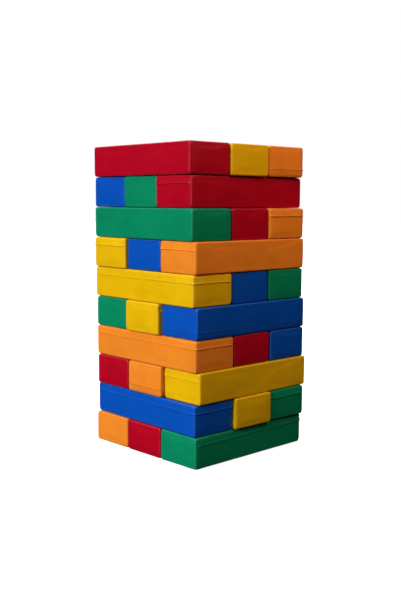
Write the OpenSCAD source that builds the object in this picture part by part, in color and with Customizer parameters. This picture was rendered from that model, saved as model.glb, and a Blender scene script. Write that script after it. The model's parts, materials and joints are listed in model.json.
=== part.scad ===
// Giant tumbling tower: thirty soft blocks stacked three to a layer, ten layers high, every other
// layer turned a quarter turn. Each block is a foam core in a zipped leatherette cover.
// Millimetres, +Z up. The origin is under the middle of the tower, on the floor.
// A block is drawn lying on its back with its length along X and its lid upward, centred on its own
// middle, then turned and put in its place.

/* [Block] */
// Length of a cover's body, without the zip flap
body_length = 602; // [400:1:900]
// Width of a cover's body, without the zip flap
body_width = 199; // [130:1:300]
// Height of a block
block_height = 121; // [80:1:180]
// Radius of the sewn edges
edge_radius = 7; // [4:0.5:12]
// Thickness of the cover material
cover_thickness = 1.2; // [0.8:0.1:2]
// Gap between the cover and the foam core
core_gap = 0.4; // [0.3:0.1:1]

/* [Zip] */
// Distance from the lid face to the middle of the zip
zip_depth = 26; // [20:1:50]
// Height of the slit in the cover that the zip closes
slit_height = 7; // [6:0.5:12]
// How far the zip stops short of the two corners it doesn't turn
zip_end_margin = 12; // [12:1:60]
// Height of the flap that hides the zip
flap_height = 14; // [12:1:25]
// How far the flap stands out of the cover
flap_proud = 2.6; // [1.5:0.1:3]
// Width of the zip's tape
tape_width = 30; // [24:1:34]
// Thickness of the zip's tape
tape_thickness = 0.6; // [0.4:0.1:1]
// Height of the zip's closed coil
coil_height = 5; // [4:0.5:7]
// Length of the zip's slider
slider_length = 13; // [10:1:18]
// Length of the slider's pull
pull_length = 20; // [15:1:30]

/* [Stack] */
// Distance from the middle of one block to the next in its layer
block_pitch = 202.2; // [202:0.1:204]
// Clear gap between two layers
layer_gap = 0.4; // [0.3:0.1:1]
// Shift of the whole stack along X that centres it on the origin
centre_x = 2.25; // [-20:0.01:20]
// Shift of the whole stack along Y that centres it on the origin
centre_y = -0.39; // [-20:0.01:20]

/* [Hidden] */
$fn = 48;
eps = 0.01;
// Ways round that a block can lie: as drawn, turned end for end, rolled over, and both
AS_DRAWN = [0, 0, 0];
END_FOR_END = [0, 0, 180];
ROLLED = [180, 0, 0];
ROLLED_END_FOR_END = [0, 180, 0];

// The layers from the floor up: shift along X, shift along Y and turn of the layer, then its three
// blocks as [colour, way round, how far it is pushed along its own length].
LAYERS = [
    [0.5, -2.5, 91.0, [["green", AS_DRAWN, 0], ["red", ROLLED, 0], ["orange", ROLLED, 2]]],
    [4, 4, -0.5, [["blue", AS_DRAWN, 0], ["yellow", ROLLED_END_FOR_END, 13], ["green", AS_DRAWN, 3]]],
    [8, 13, 90.6, [["yellow", END_FOR_END, 0], ["orange", ROLLED_END_FOR_END, -15], ["red", ROLLED, -14]]],
    [2, 1, 0.4, [["orange", AS_DRAWN, 0], ["red", END_FOR_END, 0], ["blue", END_FOR_END, 3]]],
    [4, 4, 90.4, [["blue", ROLLED_END_FOR_END, 0], ["yellow", AS_DRAWN, -16], ["green", AS_DRAWN, -5]]],
    [-1, -3, -0.4, [["yellow", AS_DRAWN, 0], ["blue", END_FOR_END, -3], ["green", END_FOR_END, -1]]],
    [2, -2, 90.3, [["orange", END_FOR_END, 0], ["blue", ROLLED, 3], ["yellow", END_FOR_END, -6]]],
    [-5, -3, -0.7, [["green", END_FOR_END, 0], ["red", ROLLED_END_FOR_END, -2], ["orange", AS_DRAWN, 3]]],
    [-19, -3, 90, [["red", END_FOR_END, 0], ["green", ROLLED, 5], ["blue", ROLLED, 12]]],
    [-6, -7, -1.5, [["red", END_FOR_END, 0], ["yellow", END_FOR_END, 4], ["orange", ROLLED, 0]]],
];
SLOTS = ["a", "b", "c"];

zip_z = block_height / 2 - zip_depth;
tape_out = -cover_thickness - 0.1;
tape_in = tape_out - tape_thickness;
coil_out = -0.4;
coil_in = -3.2;
core_out = -cover_thickness - core_gap;

function layer_z(n) = block_height / 2 + n * (block_height + layer_gap);
function block_name(n, s) =
    str("l", n < 9 ? "0" : "", n + 1, SLOTS[s], "_", LAYERS[n][3][s][0]);

// A rectangle the size of the body grown by "out" all round, with its corners rounded to match
module grown_outline(length, width, out) {
    r = edge_radius + out;
    translate([-length / 2 - out + r, -width / 2 - out])
        square([length + 2 * out - 2 * r, width + 2 * out]);
    translate([-length / 2 - out, -width / 2 - out + r])
        square([length + 2 * out, width + 2 * out - 2 * r]);
    for (x = [-1, 1], y = [-1, 1])
        translate([x * (length / 2 + out - r), y * (width / 2 + out - r)])
            circle(r);
}

// The body's block grown by "out" all round, with all twelve edges rounded
module rounded_block(out) {
    intersection() {
        translate([0, 0, -block_height / 2 - out])
            linear_extrude(block_height + 2 * out)
                grown_outline(body_length, body_width, out);
        translate([0, body_width / 2 + out, 0])
            rotate([90, 0, 0])
                linear_extrude(body_width + 2 * out)
                    grown_outline(body_length, block_height, out);
        translate([-body_length / 2 - out, 0, 0])
            rotate([90, 0, 90])
                linear_extrude(body_length + 2 * out)
                    grown_outline(body_width, block_height, out);
    }
}

// Plan of the L that the zip runs along: one long side, one corner and one end. "skip" shortens it
// where it starts, on the long side, and "extra" lengthens both of its ends.
module zip_path(skip, extra) {
    reach = 20;
    start = -body_length / 2 + zip_end_margin + skip - extra;
    translate([start, -body_width / 2 - reach])
        square([body_length / 2 + reach - start, 2 * reach]);
    translate([body_length / 2 - reach, -body_width / 2 - reach])
        square([2 * reach, body_width + reach - zip_end_margin + extra]);
}

// A band round the body between two distances out of its faces, kept where the zip runs
module zip_band(inner, outer, low, high, skip = 0, extra = 0) {
    translate([0, 0, low])
        linear_extrude(high - low)
            intersection() {
                difference() {
                    grown_outline(body_length, body_width, outer);
                    grown_outline(body_length, body_width, inner);
                }
                zip_path(skip, extra);
            }
}

// Leatherette cover with its slit, and the lid's edge lapping over the slit as a flap
module cover_shell() {
    difference() {
        union() {
            rounded_block(0);
            zip_band(-0.5, flap_proud, zip_z - flap_height / 2, zip_z + flap_height / 2,
                extra = 4);
        }
        rounded_block(-cover_thickness);
        zip_band(-cover_thickness - 0.5, flap_proud - cover_thickness,
            zip_z - slit_height / 2, zip_z + slit_height / 2, extra = 1);
        zip_band(0, flap_proud - cover_thickness,
            zip_z - flap_height / 2 - 1, zip_z - slit_height / 2 + eps, extra = 1);
    }
}

// Zip: woven tape behind the cover and the closed coil in the slit
module zip_chain() {
    parted_length = pull_length + slider_length + 4;
    difference() {
        zip_band(tape_in, tape_out, zip_z - tape_width / 2, zip_z + tape_width / 2);
        translate([-body_length / 2 + zip_end_margin - 1, -body_width / 2, zip_z - 2.5])
            cube([parted_length, 8, 5]);
    }
    zip_band(coil_in, coil_out, zip_z - coil_height / 2, zip_z + coil_height / 2,
        skip = parted_length);
}

// Slider and pull, parked at the closed end of the zip
module zip_slider() {
    slider_x = -body_length / 2 + zip_end_margin + pull_length + 2;
    face_y = -body_width / 2;
    translate([slider_x, face_y - 0.9, zip_z - 3])
        cube([slider_length, 1.1, 6]);
    translate([slider_x, face_y + 2.5, zip_z - 3])
        cube([slider_length, 1.1, 6]);
    translate([slider_x + 3, face_y, zip_z - 1.6])
        cube([slider_length - 6, 3, 3.2]);
    translate([slider_x - pull_length, face_y - 0.9, zip_z - 2.2])
        cube([pull_length + 1, 1.1, 4.4]);
}

// Firm foam core, relieved where the zip's tape and coil lie
module foam_core() {
    difference() {
        rounded_block(core_out);
        zip_band(tape_in - 0.4, 0, zip_z - tape_width / 2 - 1, zip_z + tape_width / 2 + 1,
            extra = 2);
        zip_band(coil_in - 1.2, 0, zip_z - slit_height / 2, zip_z + slit_height / 2,
            extra = 1);
    }
}

// Moves a block from where it is drawn to its place in the stack
module in_place(n, s) {
    layer = LAYERS[n];
    block = layer[3][s];
    translate([centre_x + layer[0], centre_y + layer[1], layer_z(n)])
        rotate([0, 0, layer[2]])
            translate([block[2], (s - 1) * block_pitch, 0])
                rotate(block[1])
                    children();
}

module block_cover(n, s) {
    color(LAYERS[n][3][s][0])
        in_place(n, s) {
            cover_shell();
            zip_chain();
            zip_slider();
        }
}

module block_core(n, s) {
    color("ivory")
        in_place(n, s)
            foam_core();
}

for (n = [0 : len(LAYERS) - 1], s = [0 : 2]) {
    block_cover(n, s);
    block_core(n, s);
}
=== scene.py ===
"""Looks for a giant tumbling tower: thirty foam blocks in zipped leatherette covers.

Every block is built once in its own space, lying on its back with its length along X and its lid
upward, and is then put where its CAD nodes are. Metres throughout.
"""

import itertools
import json
import math

import bpy
import numpy as np
from mathutils import Matrix, Vector

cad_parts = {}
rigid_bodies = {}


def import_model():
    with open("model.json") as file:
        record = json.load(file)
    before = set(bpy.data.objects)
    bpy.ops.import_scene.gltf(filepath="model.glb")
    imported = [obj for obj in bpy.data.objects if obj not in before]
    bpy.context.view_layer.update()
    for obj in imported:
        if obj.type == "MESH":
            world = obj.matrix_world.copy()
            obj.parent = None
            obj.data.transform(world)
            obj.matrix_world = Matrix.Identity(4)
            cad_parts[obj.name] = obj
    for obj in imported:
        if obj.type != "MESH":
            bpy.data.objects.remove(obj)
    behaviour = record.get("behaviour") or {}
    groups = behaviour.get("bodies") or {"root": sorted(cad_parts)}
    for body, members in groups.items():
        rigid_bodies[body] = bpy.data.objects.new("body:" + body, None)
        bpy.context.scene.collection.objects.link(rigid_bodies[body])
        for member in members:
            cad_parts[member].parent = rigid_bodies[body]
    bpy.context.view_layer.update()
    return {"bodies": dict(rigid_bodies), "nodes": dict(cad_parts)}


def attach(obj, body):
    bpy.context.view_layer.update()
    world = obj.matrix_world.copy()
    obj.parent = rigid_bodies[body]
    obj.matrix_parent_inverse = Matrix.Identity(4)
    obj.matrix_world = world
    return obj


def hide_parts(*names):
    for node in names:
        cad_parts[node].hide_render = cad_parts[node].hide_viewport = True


MM = 0.001

# Cover body, without the zip flap
BODY = np.array([602, 199, 121]) * MM
EDGE_RADIUS = 7 * MM

# How far the whole visible surface sits inside the CAD cover's, so that neighbours clear each other
SEAT = 0.15 * MM

# Zip: its height, the slit that it closes, how deep the tape lies in it, and the plain stretch at each end
ZIP_Z = BODY[2] / 2 - 26 * MM
SLIT_HEIGHT = 7 * MM
SLIT_DEPTH = 3.4 * MM
TAPE_DEPTH = 2.2 * MM
ZIP_END_MARGIN = 12 * MM

# Zip flap: the zero of its outline lies this far up
FLAP_TOP = ZIP_Z + 7 * MM

# Leatherette colours, in linear light
COLOURS = {
    "red": (0.440, 0.0005, 0.0140),
    "yellow": (0.800, 0.470, 0.0010),
    "orange": (0.870, 0.250, 0.0200),
    "blue": (0.0010, 0.080, 0.480),
    "green": (0.0010, 0.240, 0.110),
}

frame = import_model()


# ---------------------------------------------------------------- where each block lies


def corners_of(node):
    """A CAD node's vertices as an array."""
    mesh = frame["nodes"][node].data
    co = np.empty(len(mesh.vertices) * 3)
    mesh.vertices.foreach_get("co", co)
    return co.reshape(-1, 3)


def plan_turn(points, angle):
    """Points turned back by an angle about Z."""
    c, s = math.cos(angle), math.sin(angle)
    return points @ np.array([[c, -s, 0], [s, c, 0], [0, 0, 1]])


def lie_of_block(body):
    """The matrix that takes a block from its own space to its place in the stack."""
    core = corners_of(body + "_core")
    cover = corners_of(body + "_cover")

    def plan_area(angle):
        size = np.ptp(plan_turn(core, angle), axis=0)
        return size[0] * size[1]

    turn = 0.0
    for step in (0.5, 0.05, 0.005):
        tries = [turn + math.radians(step) * k for k in range(-10, 11)]
        turn = min(tries, key=plan_area)
    size = np.ptp(plan_turn(core, turn), axis=0)
    if size[1] > size[0]:
        turn += math.pi / 2
    core = plan_turn(core, turn)
    cover = plan_turn(cover, turn)
    middle = (core.min(0) + core.max(0)) / 2
    cover = cover - middle
    # The flap stands out on one end and one side, near the lid, and so shows which way the block lies
    flap_end = np.sign(cover[:, 0].max() + cover[:, 0].min())
    flap_side = np.sign(cover[:, 1].max() + cover[:, 1].min())
    proud = np.abs(cover[:, 1]) > BODY[1] / 2 + 1 * MM
    lid = np.sign(cover[proud, 2].mean())
    way = Matrix.Diagonal((flap_end, -flap_side, lid, 1))
    spin = Matrix.Rotation(turn, 4, "Z")
    return spin @ Matrix.Translation(Vector(middle)) @ way


# ---------------------------------------------------------------- block geometry


def spread(start, end, step):
    """Evenly spaced values from start to end, both left out, about step apart."""
    count = max(1, round((end - start) / step))
    return list(np.linspace(start, end, count + 1)[1:-1])


def grid_lines(half, step, extra=()):
    """Grid lines along one axis of the box: close together at the rounded edges, then wider apart."""
    inner = half - EDGE_RADIUS
    # Angles round the arc up to its seam; a flat box's point is drawn to the arc from the arc's centre.
    edge = [inner + EDGE_RADIUS * math.tan(math.radians(angle)) for angle in (0, 15, 30, 41, 45)]
    edge += [inner - gap * MM for gap in (4, 9, 15)]
    inside = spread(-min(edge), min(edge), step)
    # Lines that fall too near an extra one make way for it
    inside = [v for v in inside if all(abs(v - e) > 0.4 * step for e in extra)]
    edge = [v for v in edge if all(abs(v - e) > 1.0 * MM for e in extra)]
    return np.array(sorted([-v for v in edge] + inside + list(extra) + edge))


def box_grid(xs, ys, zs, index=None):
    """A closed box of quads with the given grid lines, as (points, quads). Fills index if it is given."""
    index = {} if index is None else index
    points, quads = [], []

    def corner(i, j, k):
        key = (i, j, k)
        if key not in index:
            index[key] = len(points)
            points.append((xs[i], ys[j], zs[k]))
        return index[key]

    def quad(*places):
        quads.append([corner(*place) for place in places])

    nx, ny, nz = len(xs) - 1, len(ys) - 1, len(zs) - 1
    for i in range(nx):
        for j in range(ny):
            quad((i, j, 0), (i, j + 1, 0), (i + 1, j + 1, 0), (i + 1, j, 0))
            quad((i, j, nz), (i + 1, j, nz), (i + 1, j + 1, nz), (i, j + 1, nz))
    for i in range(nx):
        for k in range(nz):
            quad((i, 0, k), (i + 1, 0, k), (i + 1, 0, k + 1), (i, 0, k + 1))
            quad((i, ny, k), (i, ny, k + 1), (i + 1, ny, k + 1), (i + 1, ny, k))
    for j in range(ny):
        for k in range(nz):
            quad((0, j, k), (0, j, k + 1), (0, j + 1, k + 1), (0, j + 1, k))
            quad((nx, j, k), (nx, j + 1, k), (nx, j + 1, k + 1), (nx, j, k + 1))
    return np.array(points), quads


def rounded(points, half, radius):
    """Draws points of a sharp box to the same box with rounded edges. Returns (points, normals)."""
    inner = np.clip(points, -(half - radius), half - radius)
    way = points - inner
    way /= np.linalg.norm(way, axis=1, keepdims=True)
    return inner + way * radius, way


def smooth_noise(points, size, seed):
    """Soft noise, mostly between -1 and 1: a few waves in random directions, which repeat nowhere."""
    rng = np.random.default_rng(seed)
    total = np.zeros(len(points))
    for _ in range(9):
        way = rng.normal(size=3)
        way /= np.linalg.norm(way)
        wave = size * rng.uniform(0.6, 1.7)
        total += np.sin(points @ way * (2 * math.pi / wave) + rng.uniform(0, 2 * math.pi))
    return total / 4.5


def seam_closeness(way, width):
    """1 on the sewn line in the middle of every rounded edge, falling to 0 beside it."""
    s = np.sort(np.abs(way), axis=1)[:, ::-1]
    off = (s[:, 0] - s[:, 1]) * EDGE_RADIUS
    on_edge = np.clip((s[:, 1] - 0.3) / 0.2, 0, 1)
    return np.exp(-((off / width) ** 2)) * on_edge


def on_zip_path(points):
    """True for points of the side faces that the zip runs along: the -Y side and the +X end."""
    half = BODY / 2
    near = 10 * MM
    along_side = (points[:, 1] < -half[1] + near) & (points[:, 0] > -half[0] + ZIP_END_MARGIN)
    along_end = (points[:, 0] > half[0] - near) & (points[:, 1] < half[1] - ZIP_END_MARGIN)
    return along_side | along_end


def corner_closeness(points, reach):
    """1 at the box's eight corners, falling to 0 at a distance along every edge."""
    near = np.clip((np.abs(points) - (BODY / 2 - reach)) / reach, 0, 1)
    near = near * near * (3 - 2 * near)
    return near.prod(axis=1)


def crown(points):
    """How full the X, Y and Z faces are at these points, from 0 at their edges to 1 in their middles."""
    u = np.clip(np.abs(points) / (BODY / 2), 0, 1)
    full = 1 - u**4
    return np.stack([full[:, 1] * full[:, 2], full[:, 0] * full[:, 2], full[:, 0] * full[:, 1]], axis=1)


# ------ filling: a cloth simulation of the cover blown up, its moves then held within limits that leave room for the foam and the neighbours


def coarse_lines(half):
    """The simulated cover's grid lines along one axis."""
    edge = half - 5 * MM
    return np.array([-half, -edge, *spread(-edge, edge, 11 * MM), edge, half])


COARSE = [coarse_lines(half) for half in BODY / 2]
# How far each face may stand out and sink in, for X, Y and Z faces
LIMIT_OUT = np.array([1.8, 0.45, 0.05]) * MM
LIMIT_IN = np.array([0.8, 0.7, 0.45]) * MM
CLOTH_FRAMES = 16
# Seeds of the ways to fill, which the blocks share out
VARIANTS = (1, 2, 3)


def filled_cloth(seed):
    """A coarse cover under pressure. Returns how far each point of its grid moves."""
    index = {}
    flat, quads = box_grid(*COARSE, index=index)
    start, way = rounded(flat, BODY / 2, EDGE_RADIUS)
    # Cut a little small and uneven, so that the pressure stretches it differently from place to place
    unevenness = smooth_noise(flat, 60 * MM, seed) * 0.5 * MM
    start = start * 0.985 + way * unevenness[:, None]
    mesh = bpy.data.meshes.new("cloth")
    mesh.from_pydata(start.tolist(), [], quads)
    thing = bpy.data.objects.new("cloth", mesh)
    scene = bpy.context.scene
    scene.collection.objects.link(thing)
    cloth = thing.modifiers.new("cloth", "CLOTH")
    cloth.settings.quality = 5
    cloth.settings.mass = 0.3
    cloth.settings.tension_stiffness = 40
    cloth.settings.compression_stiffness = 40
    cloth.settings.shear_stiffness = 20
    cloth.settings.bending_stiffness = 0.3
    cloth.settings.use_pressure = True
    cloth.settings.uniform_pressure_force = 4
    cloth.settings.effector_weights.gravity = 0
    cloth.collision_settings.use_collision = False
    cloth.point_cache.frame_start = 1
    cloth.point_cache.frame_end = CLOTH_FRAMES
    for step in range(1, CLOTH_FRAMES + 1):
        scene.frame_set(step)
    settled = thing.evaluated_get(bpy.context.evaluated_depsgraph_get()).data
    moved = np.empty(len(start) * 3)
    settled.vertices.foreach_get("co", moved)
    moved = moved.reshape(-1, 3) - start
    moved -= moved.mean(axis=0)
    scene.frame_set(1)
    bpy.data.objects.remove(thing)
    bpy.data.meshes.remove(mesh)
    field = np.zeros([len(lines) for lines in COARSE] + [3])
    for place, number in index.items():
        field[place] = moved[number]
    return field


def sampled(field, points):
    """A grid's field at points of the flat box, by straight steps between grid lines."""
    low, part = [], []
    for axis, lines in enumerate(COARSE):
        at = np.interp(points[:, axis], lines, np.arange(len(lines)))
        low.append(np.minimum(at.astype(int), len(lines) - 2))
        part.append(at - low[-1])
    total = np.zeros_like(points)
    for corner in itertools.product((0, 1), repeat=3):
        share = np.ones(len(points))
        for axis, step in enumerate(corner):
            share = share * (part[axis] if step else 1 - part[axis])
        total += share[:, None] * field[tuple(low[axis] + corner[axis] for axis in range(3))]
    return total


def capped(out):
    """Outward moves held within the limits, levelling off smoothly."""
    limit = np.where(out > 0, LIMIT_OUT, LIMIT_IN)
    return limit * np.tanh(out / (3 * limit))


def swelling(flat, variant):
    """How far the X, Y and Z faces stand out at points of the flat box."""
    if FILLED:
        side = np.sign(flat)
        return capped(sampled(FILLED[variant], flat) * side)
    full = crown(flat)
    return LIMIT_OUT * full - LIMIT_IN * (1 - full)


FILLED = [filled_cloth(seed) for seed in VARIANTS]


def padded_shape(flat, seed):
    """Points of the sharp box taken to the filled cover's surface, as (points, outward directions)."""
    half = BODY / 2
    points, way = rounded(flat, half, EDGE_RADIUS)
    swell = way * np.abs(way) * swelling(flat, seed % len(VARIANTS))
    second_nearest = np.sort(np.abs(flat) / half, axis=1)[:, 1]
    near_edge = np.exp(-((1 - second_nearest) * half[1] / (22 * MM)) ** 2)
    ripple = smooth_noise(points, 80 * MM, seed) * 0.09 * MM
    ripple += smooth_noise(points, 34 * MM, seed + 50) * near_edge * 0.12 * MM
    # A low ridge along every sewn edge, with a groove where the panels meet
    seam = 0.3 * seam_closeness(way, 1.5 * MM) - 0.7 * seam_closeness(way, 0.5 * MM)
    # Foam doesn't fill the corners, some less than others
    softness = 1.7 + 0.9 * smooth_noise(flat, 200 * MM, seed + 90)
    corner = corner_closeness(flat, 20 * MM) * softness * MM
    return points + swell + way * (ripple - SEAT + seam * MM - corner)[:, None], way


def skin_mesh(seed):
    """The cover without its flap: closed, filled, with a channel where the zip lies."""
    half = BODY / 2
    lip = 0.3 * MM
    slit = [ZIP_Z - SLIT_HEIGHT / 2, ZIP_Z + SLIT_HEIGHT / 2]
    slit_lines = [slit[0] - lip, slit[0] + lip, slit[1] - lip, slit[1] + lip]
    start = -half[0] + ZIP_END_MARGIN
    stop = half[1] - ZIP_END_MARGIN
    xs = grid_lines(half[0], 9 * MM, [start - lip, start + lip])
    ys = grid_lines(half[1], 8 * MM, [stop - lip, stop + lip])
    zs = grid_lines(half[2], 7 * MM, slit_lines)
    flat, quads = box_grid(xs, ys, zs)
    points, way = padded_shape(flat, seed)
    in_slit = on_zip_path(flat) & (flat[:, 2] > slit[0]) & (flat[:, 2] < slit[1])
    points[in_slit] -= way[in_slit] * SLIT_DEPTH
    # How much the sewn edges are lightened in the cover's colour: partly rubbing, partly a painted
    # highlight
    wear = np.clip(seam_closeness(way, 3.5 * MM), 0, 1)
    return points, quads, wear


def zip_route(step, extra=0.0):
    """Plan points and outward directions along the zip's L, evenly spaced, at the body's face."""
    half = BODY / 2
    r = EDGE_RADIUS
    start = -half[0] + ZIP_END_MARGIN - extra
    stop = half[1] - ZIP_END_MARGIN + extra
    side = np.arange(start, half[0] - r, step)
    end = np.arange(-half[1] + r, stop, step)
    turn = np.linspace(-math.pi / 2, 0, 7)[1:-1]
    points = [(x, -half[1]) for x in side] + [(half[0] - r, -half[1])]
    ways = [(0, -1)] * len(points)
    points += [(half[0] - r + r * math.cos(a), -half[1] + r + r * math.sin(a)) for a in turn]
    ways += [(math.cos(a), math.sin(a)) for a in turn]
    points += [(half[0], y) for y in end] + [(half[0], stop)]
    ways += [(1, 0)] * (len(end) + 1)
    return np.array(points), np.array(ways)


def swept(points, ways, section):
    """A closed tube of quads. section(i) gives its outline at the i-th point as (outward, height) pairs."""
    verts, quads, rings = [], [], []
    for i, (p, w) in enumerate(zip(points, ways)):
        ring = []
        for out, z in section(i):
            ring.append(len(verts))
            verts.append((p[0] + w[0] * out, p[1] + w[1] * out, z))
        rings.append(ring)
    count = len(rings[0])
    for a, b in zip(rings, rings[1:]):
        for k in range(count):
            m = (k + 1) % count
            quads.append([a[k], a[m], b[m], b[k]])
    quads.append(rings[0][::-1])
    quads.append(rings[-1])
    return np.array(verts), quads


def face_swell(points, ways, variant, height=ZIP_Z):
    """How far the filled side and end faces stand out at plan points at a height."""
    flat = np.column_stack([points, np.full(len(points), height)])
    flat[:, :2] += ways * 3 * MM
    flat[:, :2] = np.clip(flat[:, :2], -BODY[:2] / 2, BODY[:2] / 2)
    return (swelling(flat, variant)[:, :2] * ways**2).sum(axis=1) - SEAT


# Out from the face and down from FLAP_TOP, in millimetres: the lid's skirt leaves the face under the top
# edge, falls past the zip, is turned up in a hem, and comes back behind itself.
FLAP_OUTLINE = [
    (-1.0, -13.0), (0.1, -12.2), (0.3, -8.0), (0.5, -3.0), (0.8, 2.0), (1.1, 5.5), (1.25, 7.6), (1.1, 8.6),
    (1.7, 9.6), (2.3, 10.8), (2.5, 12.2), (2.3, 13.4), (1.5, 14.1), (0.95, 13.6), (0.7, 12.0), (0.5, 8.0),
    (0.3, 4.0), (-0.9, 1.5),
]
# Where the flap leaves the face, and where the zip's middle is, both down from FLAP_TOP in millimetres
FLAP_ROOT = -12
ZIP_DOWN = 7
# The hem's stitch line, below FLAP_TOP and out from the face
HEM_CREASE = 8.4 * MM
CREASE_OUT = 1.1 * MM


def flap_ends(count, reach):
    """0 at both ends of the flap, rising to 1 over a few points."""
    from_end = np.minimum(np.arange(count), np.arange(count)[::-1])
    share = np.clip(from_end / reach, 0, 1)
    return share * share * (3 - 2 * share)


def flap_mesh(seed):
    """The lid's skirt, lapping down over the zip with a sewn hem."""
    points, ways = zip_route(4 * MM, extra=9 * MM)
    variant = seed % len(VARIANTS)
    swell = face_swell(points, ways, variant)
    root_swell = face_swell(points, ways, variant, FLAP_TOP - FLAP_ROOT * MM)
    flat = np.column_stack([points, np.zeros(len(points))])
    wave = smooth_noise(flat, 90 * MM, seed + 7)
    lift = smooth_noise(flat, 110 * MM, seed + 8)
    at_corner = np.exp(-((np.abs(ways).min(axis=1) - 0.7) / 0.35) ** 2)
    full = flap_ends(len(points), 4)

    def section(i):
        ring = []
        for out, down in FLAP_OUTLINE:
            # The further down, the freer: it lifts unevenly, and more round the corner and on the end
            share = np.clip(down / 14, 0, 1)
            looseness = 0.06 * lift[i] + 0.12 * at_corner[i] + 0.3 * ways[i, 0] ** 2
            proud = out * (1 + looseness * share)
            # Its ends are tucked in under the face
            proud = proud * full[i] - 0.9 * (1 - full[i])
            z = FLAP_TOP - (down + 0.8 * wave[i] * share**2) * MM
            under = np.interp(down, (FLAP_ROOT, ZIP_DOWN), (root_swell[i], swell[i]))
            ring.append((under + proud * MM, z))
        return ring

    return swept(points, ways, section)


def stitch_mesh(variant):
    """The row of stitches that sews the hem, each a small pillow of thread."""
    points, ways = zip_route(1.0 * MM)
    swell = face_swell(points, ways, variant)
    run = np.concatenate([[0], np.cumsum(np.linalg.norm(np.diff(points, axis=0), axis=1))])
    z = FLAP_TOP - HEM_CREASE
    pitch, length, fat = 4.6 * MM, 3.3 * MM, 0.32 * MM
    # Along the stitch and how fat it is there, as shares of its length and of its half thickness
    rings = ((-0.5, 0.3), (-0.3, 1.0), (0.3, 1.0), (0.5, 0.3))
    verts, quads = [], []
    for k in range(int(run[-1] / pitch)):
        i = int(np.searchsorted(run, (k + 0.5) * pitch))
        way = ways[i]
        middle = points[i] + way * (swell[i] + CREASE_OUT)
        along = np.array([-way[1], way[0]])
        first = len(verts)
        for t, wide in rings:
            for out, up in ((0, 1), (1, 0), (0, -1), (-1, 0)):
                x, y = middle + along * t * length + way * out * fat * wide
                verts.append((x, y, z + up * fat * wide))
        for ring in range(first, first + 12, 4):
            for c in range(4):
                d = (c + 1) % 4
                quads.append([ring + c, ring + d, ring + 4 + d, ring + 4 + c])
        quads.append([first + 3, first + 2, first + 1, first])
        quads.append([first + 12, first + 13, first + 14, first + 15])
    return np.array(verts), quads


def zip_parts():
    """The zip's tape, and its coil with its turns. Each is (points, quads)."""
    front, back = -TAPE_DEPTH, -TAPE_DEPTH - 0.6 * MM
    top, bottom = ZIP_Z + 3.3 * MM, ZIP_Z - 3.3 * MM
    points, ways = zip_route(6 * MM)
    tape = swept(points, ways, lambda i: [(front, top), (front, bottom), (back, bottom), (back, top)])

    # The coil starts past the slider, and every other point of it is a turn
    past_slider = 26
    points, ways = zip_route(1.6 * MM)
    circle = [(math.cos(a), math.sin(a)) for a in np.linspace(0, 2 * math.pi, 7)[:-1]]

    def turns(i):
        thick = 1.0 if i % 2 else 0.72
        return [(front + (0.5 + 0.75 * c * thick) * MM, ZIP_Z + 2.5 * s * thick * MM) for c, s in circle]

    coil = swept(points[past_slider:], ways[past_slider:], turns)
    return tape, coil


def plate(low, high, bevel):
    """A small block with bevelled edges between two corners."""
    low, high = np.array(low), np.array(high)
    half = (high - low) / 2
    flat, quads = box_grid(*[np.array([-h, bevel - h, h - bevel, h]) for h in half])
    points, _ = rounded(flat, half, bevel)
    return points + (low + high) / 2, quads


def slider_parts():
    """The slider's two plates with the post between them, its bridge and its pull."""
    place = np.array([-BODY[0] / 2 + ZIP_END_MARGIN + 22 * MM, -BODY[1] / 2, ZIP_Z])
    # Two corners and the bevel, in millimetres from a point on the cover's face
    plates = [
        ((0, 0.1, -3), (13, 1.0, 3), 0.4),
        ((0, 2.9, -3), (13, 3.6, 3), 0.3),
        ((4, 0.6, -1.2), (9, 3.2, 1.2), 0.4),
        ((1, -0.5, -1), (9, 0.5, 1), 0.4),
        ((-19, -0.4, -2.2), (3, 0.4, 2.2), 0.35),
    ]
    return [
        plate(place + np.array(low) * MM, place + np.array(high) * MM, bevel * MM)
        for low, high, bevel in plates
    ]


def foam_mesh(seed):
    """The foam core, cut a little smaller than the cover's inside."""
    half = BODY / 2 - 4.2 * MM
    radius = 4 * MM
    lines = []
    for h in half:
        edge = [h - radius, h - 0.55 * radius, h]
        lines.append(np.array([-v for v in edge[::-1]] + spread(-edge[0], edge[0], 24 * MM) + edge))
    flat, quads = box_grid(*lines)
    points, way = rounded(flat, half, radius)
    unevenness = smooth_noise(points, 60 * MM, seed) * 0.3 * MM
    return points + way * unevenness[:, None], quads


# ---------------------------------------------------------------- materials


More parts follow.
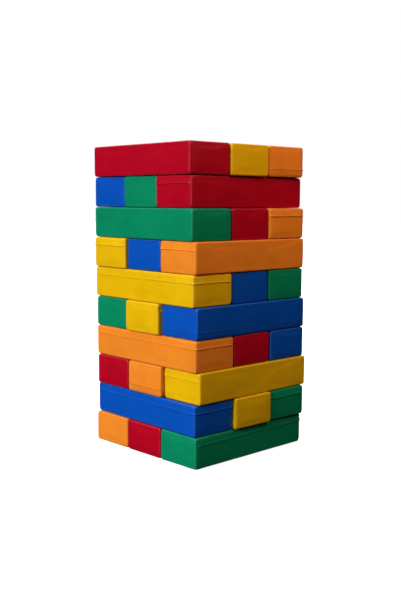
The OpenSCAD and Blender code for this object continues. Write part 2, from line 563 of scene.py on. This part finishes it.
class Nodes:
    """Short names for building a material's nodes."""

    def __init__(self, name):
        self.material = bpy.data.materials.new(name)
        self.material.use_nodes = True
        self.tree = self.material.node_tree
        self.shader = self.tree.nodes["Principled BSDF"]

    def add(self, kind, **settings):
        """A new node with its settings, which are sockets' values or the node's own."""
        node = self.tree.nodes.new(kind)
        for key, value in settings.items():
            if key in node.inputs:
                node.inputs[key].default_value = value
            else:
                setattr(node, key, value)
        return node

    def link(self, output, target):
        self.tree.links.new(output, target)

    def ramp(self, source, low, high, from_low=0.0, from_high=1.0):
        """The source's range from_low to from_high taken to low to high."""
        node = self.add("ShaderNodeMapRange")
        node.inputs["From Min"].default_value = from_low
        node.inputs["From Max"].default_value = from_high
        node.inputs["To Min"].default_value = low
        node.inputs["To Max"].default_value = high
        self.link(source, node.inputs["Value"])
        return node.outputs["Result"]

    def feed(self, socket, value):
        """Links or sets a socket."""
        if isinstance(value, bpy.types.NodeSocket):
            self.link(value, socket)
        else:
            socket.default_value = value

    def mix(self, share, a, b):
        node = self.add("ShaderNodeMix", data_type="RGBA")
        # A mix node has one set of sockets for each data type; 6 and 7 are the colours
        for number, value in ((0, share), (6, a), (7, b)):
            self.feed(node.inputs[number], value)
        return node.outputs[2]

    def math(self, operation, a, b):
        node = self.add("ShaderNodeMath", operation=operation)
        for socket, value in zip(node.inputs, (a, b)):
            self.feed(socket, value)
        return node.outputs[0]

    def bump(self, height, distance, strength=1.0, under=None):
        node = self.add("ShaderNodeBump", Strength=strength, Distance=distance)
        self.link(height, node.inputs["Height"])
        if under is not None:
            self.link(under, node.inputs["Normal"])
        return node.outputs["Normal"]


def shade(colour, factor):
    """A colour made darker or lighter."""
    return tuple(min(1.0, c * factor) for c in colour) + (1.0,)


def toward_white(colour, share):
    """A colour made paler."""
    return tuple(c + (1 - c) * share for c in colour) + (1.0,)


def leatherette(name, colour):
    """Smooth coated fabric: fine pebble grain, soft mottling, and sewn edges lighter: part rubbing, part
    painted highlight.
    """
    n = Nodes(name)
    place = n.add("ShaderNodeAttribute", attribute_name="grain_place").outputs["Vector"]
    wear = n.add("ShaderNodeAttribute", attribute_name="wear").outputs["Fac"]
    mottle = n.add("ShaderNodeTexNoise", Scale=9.0, Detail=4.0, Roughness=0.6)
    speckle = n.add("ShaderNodeTexNoise", Scale=420.0, Detail=2.0, Roughness=0.5)
    grain = n.add("ShaderNodeTexVoronoi", Scale=900.0, feature="SMOOTH_F1")
    crease = n.add("ShaderNodeTexNoise", Scale=55.0, Detail=3.0, Roughness=0.55)
    rub_and_highlight_noise = n.add("ShaderNodeTexNoise", Scale=70.0, Detail=5.0, Roughness=0.7)
    for node in (mottle, speckle, grain, crease, rub_and_highlight_noise):
        n.link(place, node.inputs["Vector"])
    blotches = n.ramp(mottle.outputs["Fac"], 0.0, 1.0, 0.3, 0.7)
    tone = n.mix(blotches, shade(colour, 0.93), shade(colour, 1.06))
    tone = n.mix(n.ramp(speckle.outputs["Fac"], 0.0, 0.12, 0.45, 0.75), tone, shade(colour, 0.75))
    # The sewn edges, in a broken pattern, are lightened toward white and made rougher: partly rubbing,
    # partly a painted highlight
    rubbed_and_highlit = n.math("MULTIPLY", wear, n.ramp(rub_and_highlight_noise.outputs["Fac"], 0.15, 1.0, 0.4, 0.65))
    tone = n.mix(n.math("MULTIPLY", rubbed_and_highlit, 0.35), tone, toward_white(colour, 0.10))
    n.link(tone, n.shader.inputs["Base Color"])
    rough = n.ramp(mottle.outputs["Fac"], 0.30, 0.38, 0.3, 0.7)
    rough = n.math("ADD", rough, n.math("MULTIPLY", rubbed_and_highlit, 0.12))
    n.link(rough, n.shader.inputs["Roughness"])
    pebble = n.bump(grain.outputs["Distance"], 0.00006, 0.55)
    n.link(n.bump(crease.outputs["Fac"], 0.0005, 0.18, under=pebble), n.shader.inputs["Normal"])
    n.shader.inputs["Specular IOR Level"].default_value = 0.22
    return n.material


def thread(name, colour):
    """Twisted polyester sewing thread."""
    n = Nodes(name)
    place = n.add("ShaderNodeAttribute", attribute_name="grain_place").outputs["Vector"]
    twist = n.add("ShaderNodeTexWave", Scale=900.0, Distortion=1.5)
    n.link(place, twist.inputs["Vector"])
    tone = n.mix(twist.outputs["Fac"], shade(colour, 0.8), toward_white(colour, 0.10))
    n.link(tone, n.shader.inputs["Base Color"])
    n.link(n.bump(twist.outputs["Fac"], 0.0001, 0.6), n.shader.inputs["Normal"])
    n.shader.inputs["Roughness"].default_value = 0.6
    n.shader.inputs["Sheen Weight"].default_value = 0.2
    return n.material


def zip_fabric(name, colour):
    """Woven tape and nylon coil, dyed to suit the cover."""
    n = Nodes(name)
    place = n.add("ShaderNodeAttribute", attribute_name="grain_place").outputs["Vector"]
    rib = n.add("ShaderNodeTexWave", Scale=420.0, Distortion=0.6)
    fleck = n.add("ShaderNodeTexNoise", Scale=600.0, Detail=2.0)
    for node in (rib, fleck):
        n.link(place, node.inputs["Vector"])
    weave = n.math("MULTIPLY", rib.outputs["Fac"], fleck.outputs["Fac"])
    n.link(n.mix(weave, shade(colour, 0.35), shade(colour, 0.7)), n.shader.inputs["Base Color"])
    n.link(n.bump(weave, 0.0002, 0.7), n.shader.inputs["Normal"])
    n.shader.inputs["Roughness"].default_value = 0.7
    return n.material


def slider_metal():
    """Cast zinc with a satin nickel finish and small scratches."""
    n = Nodes("slider_nickel")
    place = n.add("ShaderNodeAttribute", attribute_name="grain_place").outputs["Vector"]
    scratch = n.add("ShaderNodeTexNoise", Scale=700.0, Detail=6.0, Roughness=0.7)
    n.link(place, scratch.inputs["Vector"])
    tone = n.mix(scratch.outputs["Fac"], (0.50, 0.49, 0.47, 1), (0.66, 0.65, 0.62, 1))
    n.link(tone, n.shader.inputs["Base Color"])
    n.link(n.ramp(scratch.outputs["Fac"], 0.22, 0.42), n.shader.inputs["Roughness"])
    n.link(n.bump(scratch.outputs["Fac"], 0.00005, 0.4), n.shader.inputs["Normal"])
    n.shader.inputs["Metallic"].default_value = 1.0
    return n.material


def foam():
    """Firm open-cell foam: matt, cream, with fine pores."""
    n = Nodes("foam")
    place = n.add("ShaderNodeAttribute", attribute_name="grain_place").outputs["Vector"]
    pores = n.add("ShaderNodeTexVoronoi", Scale=600.0)
    tint = n.add("ShaderNodeTexNoise", Scale=12.0, Detail=3.0)
    for node in (pores, tint):
        n.link(place, node.inputs["Vector"])
    tone = n.mix(tint.outputs["Fac"], (0.66, 0.61, 0.47, 1), (0.76, 0.72, 0.60, 1))
    # Darker at the pores' centres: painted shade in the pores' hollows
    tone = n.mix(n.ramp(pores.outputs["Distance"], 0.5, 0.0, 0.0, 0.35), tone, (0.42, 0.38, 0.28, 1))
    n.link(tone, n.shader.inputs["Base Color"])
    n.link(n.bump(pores.outputs["Distance"], 0.0006, 0.7), n.shader.inputs["Normal"])
    n.shader.inputs["Roughness"].default_value = 0.92
    n.shader.inputs["Sheen Weight"].default_value = 0.15
    return n.material


# ---------------------------------------------------------------- building the pieces


def made_object(name, parts, materials, grain_shift):
    """One object from several (points, quads, material number, edge wear and painted highlight) parts."""
    verts, faces, numbers, edge_wears_and_highlights = [], [], [], []
    for points, quads, number, wear in parts:
        base = sum(len(v) for v in verts)
        verts.append(points)
        faces += [[base + i for i in q] for q in quads]
        numbers += [number] * len(quads)
        edge_wears_and_highlights.append(np.zeros(len(points)) if wear is None else wear)
    points = np.concatenate(verts)
    mesh = bpy.data.meshes.new(name)
    mesh.from_pydata(points.tolist(), [], faces)
    mesh.polygons.foreach_set("material_index", numbers)
    mesh.polygons.foreach_set("use_smooth", [True] * len(faces))
    for material in materials:
        mesh.materials.append(material)
    place = mesh.attributes.new("grain_place", "FLOAT_VECTOR", "POINT")
    place.data.foreach_set("vector", (points + grain_shift).ravel())
    # Each point's share of the edge lightening: partly rubbing, partly a painted highlight
    wear = mesh.attributes.new("wear", "FLOAT", "POINT")
    wear.data.foreach_set("value", np.concatenate(edge_wears_and_highlights))
    mesh.update()
    thing = bpy.data.objects.new(name, mesh)
    bpy.context.scene.collection.objects.link(thing)
    return thing


LEATHERS = {c: leatherette("leatherette_" + c, rgb) for c, rgb in COLOURS.items()}
THREADS = {c: thread("thread_" + c, rgb) for c, rgb in COLOURS.items()}
ZIPS = {c: zip_fabric("zip_" + c, rgb) for c, rgb in COLOURS.items()}
NICKEL = slider_metal()
FOAM = foam()
STITCHES = [stitch_mesh(variant) for variant in range(len(VARIANTS))]
TAPE, COIL = zip_parts()
SLIDER = slider_parts()


def build_block(body, number):
    """A block's cover, zip and core, put where its CAD nodes are."""
    colour = body.split("_")[1]
    seed = 100 + 7 * number
    place = lie_of_block(body)
    shift = np.random.default_rng(seed).uniform(-5, 5, 3)
    points, quads, wear = skin_mesh(seed)
    flap_points, flap_quads = flap_mesh(seed)
    cover = made_object(body + "_skin", [
        (points, quads, 0, wear),
        (flap_points, flap_quads, 0, None),
        (*STITCHES[seed % len(VARIANTS)], 1, None),
    ], [LEATHERS[colour], THREADS[colour]], shift)
    closure = made_object(body + "_zip", [
        (*TAPE, 0, None),
        (*COIL, 0, None),
        *[(*part, 1, None) for part in SLIDER],
    ], [ZIPS[colour], NICKEL], shift)
    foam_points, foam_quads = foam_mesh(seed)
    core = made_object(body + "_foam", [(foam_points, foam_quads, 0, None)], [FOAM], shift)
    for piece, node in ((cover, "_cover"), (closure, "_cover"), (core, "_core")):
        piece.matrix_world = place
        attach(piece, body)
        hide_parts(body + node)


for number, body in enumerate(sorted(frame["bodies"])):
    build_block(body, number)


# ---------------------------------------------------------------- studio

# Strength of the soft light from straight above, from the horizon and from straight below
SOFT_LIGHT = (0.20, 0.02, 0.03)
FLOOR_GLOW = 0.65
WARM = (1.0, 0.68, 0.49)


def floor():
    """A wide white floor that glows enough to meet the backdrop without a line."""
    mesh = bpy.data.meshes.new("floor")
    r = 30.0
    mesh.from_pydata([(-r, -r, 0), (r, -r, 0), (r, r, 0), (-r, r, 0)], [], [[0, 1, 2, 3]])
    thing = bpy.data.objects.new("floor", mesh)
    bpy.context.scene.collection.objects.link(thing)
    n = Nodes("floor_paint")
    place = n.add("ShaderNodeTexCoord").outputs["Object"]
    tint = n.add("ShaderNodeTexNoise", Scale=0.6, Detail=2.0)
    n.link(place, tint.inputs["Vector"])
    tone = n.mix(tint.outputs["Fac"], (0.84, 0.84, 0.84, 1), (0.88, 0.88, 0.88, 1))
    n.link(tone, n.shader.inputs["Base Color"])
    n.shader.inputs["Roughness"].default_value = 0.9
    n.shader.inputs["Specular IOR Level"].default_value = 0.1
    n.shader.inputs["Emission Color"].default_value = (1, 1, 1, 1)
    n.shader.inputs["Emission Strength"].default_value = FLOOR_GLOW
    # It would light the blocks from below far more than the sky does
    thing.visible_diffuse = False
    thing.visible_glossy = False
    mesh.materials.append(n.material)


def area_light(name, place, target, size, power, colour):
    """A rectangular soft box facing its target."""
    data = bpy.data.lights.new(name, "AREA")
    data.color = colour
    data.shape = "RECTANGLE"
    data.size, data.size_y = size
    data.energy = power
    lamp = bpy.data.objects.new(name, data)
    bpy.context.scene.collection.objects.link(lamp)
    lamp.location = place
    lamp.rotation_euler = (Vector(target) - Vector(place)).to_track_quat("-Z", "Y").to_euler()


def sun(name, toward, strength, spread_deg):
    """A broad, distant lamp shining along a direction."""
    data = bpy.data.lights.new(name, "SUN")
    data.energy = strength
    data.angle = math.radians(spread_deg)
    lamp = bpy.data.objects.new(name, data)
    bpy.context.scene.collection.objects.link(lamp)
    lamp.rotation_euler = Vector(toward).to_track_quat("-Z", "Y").to_euler()


def sky():
    """Plain white backdrop that lights the object only softly, and mostly from above."""
    world = bpy.data.worlds.new("studio")
    bpy.context.scene.world = world
    world.use_nodes = True
    tree = world.node_tree
    output = tree.nodes["World Output"]
    soft = tree.nodes["Background"]
    soft.inputs["Color"].default_value = (1, 1, 1, 1)
    way = tree.nodes.new("ShaderNodeTexCoord")
    parts = tree.nodes.new("ShaderNodeSeparateXYZ")
    tree.links.new(way.outputs["Generated"], parts.inputs[0])
    above, level, below = SOFT_LIGHT
    strength = None
    for far, value in ((1.0, above - level), (-1.0, below - level)):
        ramp = tree.nodes.new("ShaderNodeMapRange")
        ramp.interpolation_type = "SMOOTHSTEP"
        span = {"From Min": 0.1 * far, "From Max": 0.8 * far, "To Min": 0.0, "To Max": value}
        for socket, number in span.items():
            ramp.inputs[socket].default_value = number
        tree.links.new(parts.outputs["Z"], ramp.inputs["Value"])
        total = tree.nodes.new("ShaderNodeMath")
        total.inputs[1].default_value = level
        tree.links.new(ramp.outputs["Result"], total.inputs[0])
        if strength:
            tree.links.new(strength, total.inputs[1])
        strength = total.outputs[0]
    tree.links.new(strength, soft.inputs["Strength"])
    backdrop = tree.nodes.new("ShaderNodeBackground")
    backdrop.inputs["Color"].default_value = (1, 1, 1, 1)
    rays = tree.nodes.new("ShaderNodeLightPath")
    mix = tree.nodes.new("ShaderNodeMixShader")
    tree.links.new(rays.outputs["Is Camera Ray"], mix.inputs[0])
    tree.links.new(soft.outputs[0], mix.inputs[1])
    tree.links.new(backdrop.outputs[0], mix.inputs[2])
    tree.links.new(mix.outputs[0], output.inputs["Surface"])


def studio():
    """A broad, low key light from the front left, a warm box at the upper right, and soft lights above
    and behind."""
    bpy.context.scene.view_settings.view_transform = "Standard"
    sky()
    sun("key", (0.0, 0.95, -0.40), 3.1, 30)
    sun("overhead", (0.35, 0.1, -1.0), 1.4, 50)
    sun("behind", (0.6, -0.55, -0.6), 1.3, 70)
    area_light("side", (1.9, 0.3, 2.3), (0.3, 0, 1.1), (1.0, 1.0), 25.5, WARM)
    floor()


def camera():
    """Looks at the near corner from the front right, from a tripod a little below the tower's top."""
    azimuth, elevation, roll = math.radians(47.13), math.radians(6.54), math.radians(0.35)
    distance, aim_height, aim_right = 3.5746, 0.5887, 0.0062
    back = Vector((
        math.sin(azimuth) * math.cos(elevation),
        -math.cos(azimuth) * math.cos(elevation),
        math.sin(elevation),
    ))
    right = Vector((math.cos(azimuth), math.sin(azimuth), 0))
    data = bpy.data.cameras.new("camera")
    data.lens = 51.78
    data.sensor_width = 36
    thing = bpy.data.objects.new("camera", data)
    bpy.context.scene.collection.objects.link(thing)
    thing.location = Vector((0, 0, aim_height)) + right * aim_right + back * distance
    turn = (-back).to_track_quat("-Z", "Y").to_matrix() @ Matrix.Rotation(roll, 3, "Z")
    thing.rotation_euler = turn.to_euler()
    bpy.context.scene.camera = thing


studio()
camera()
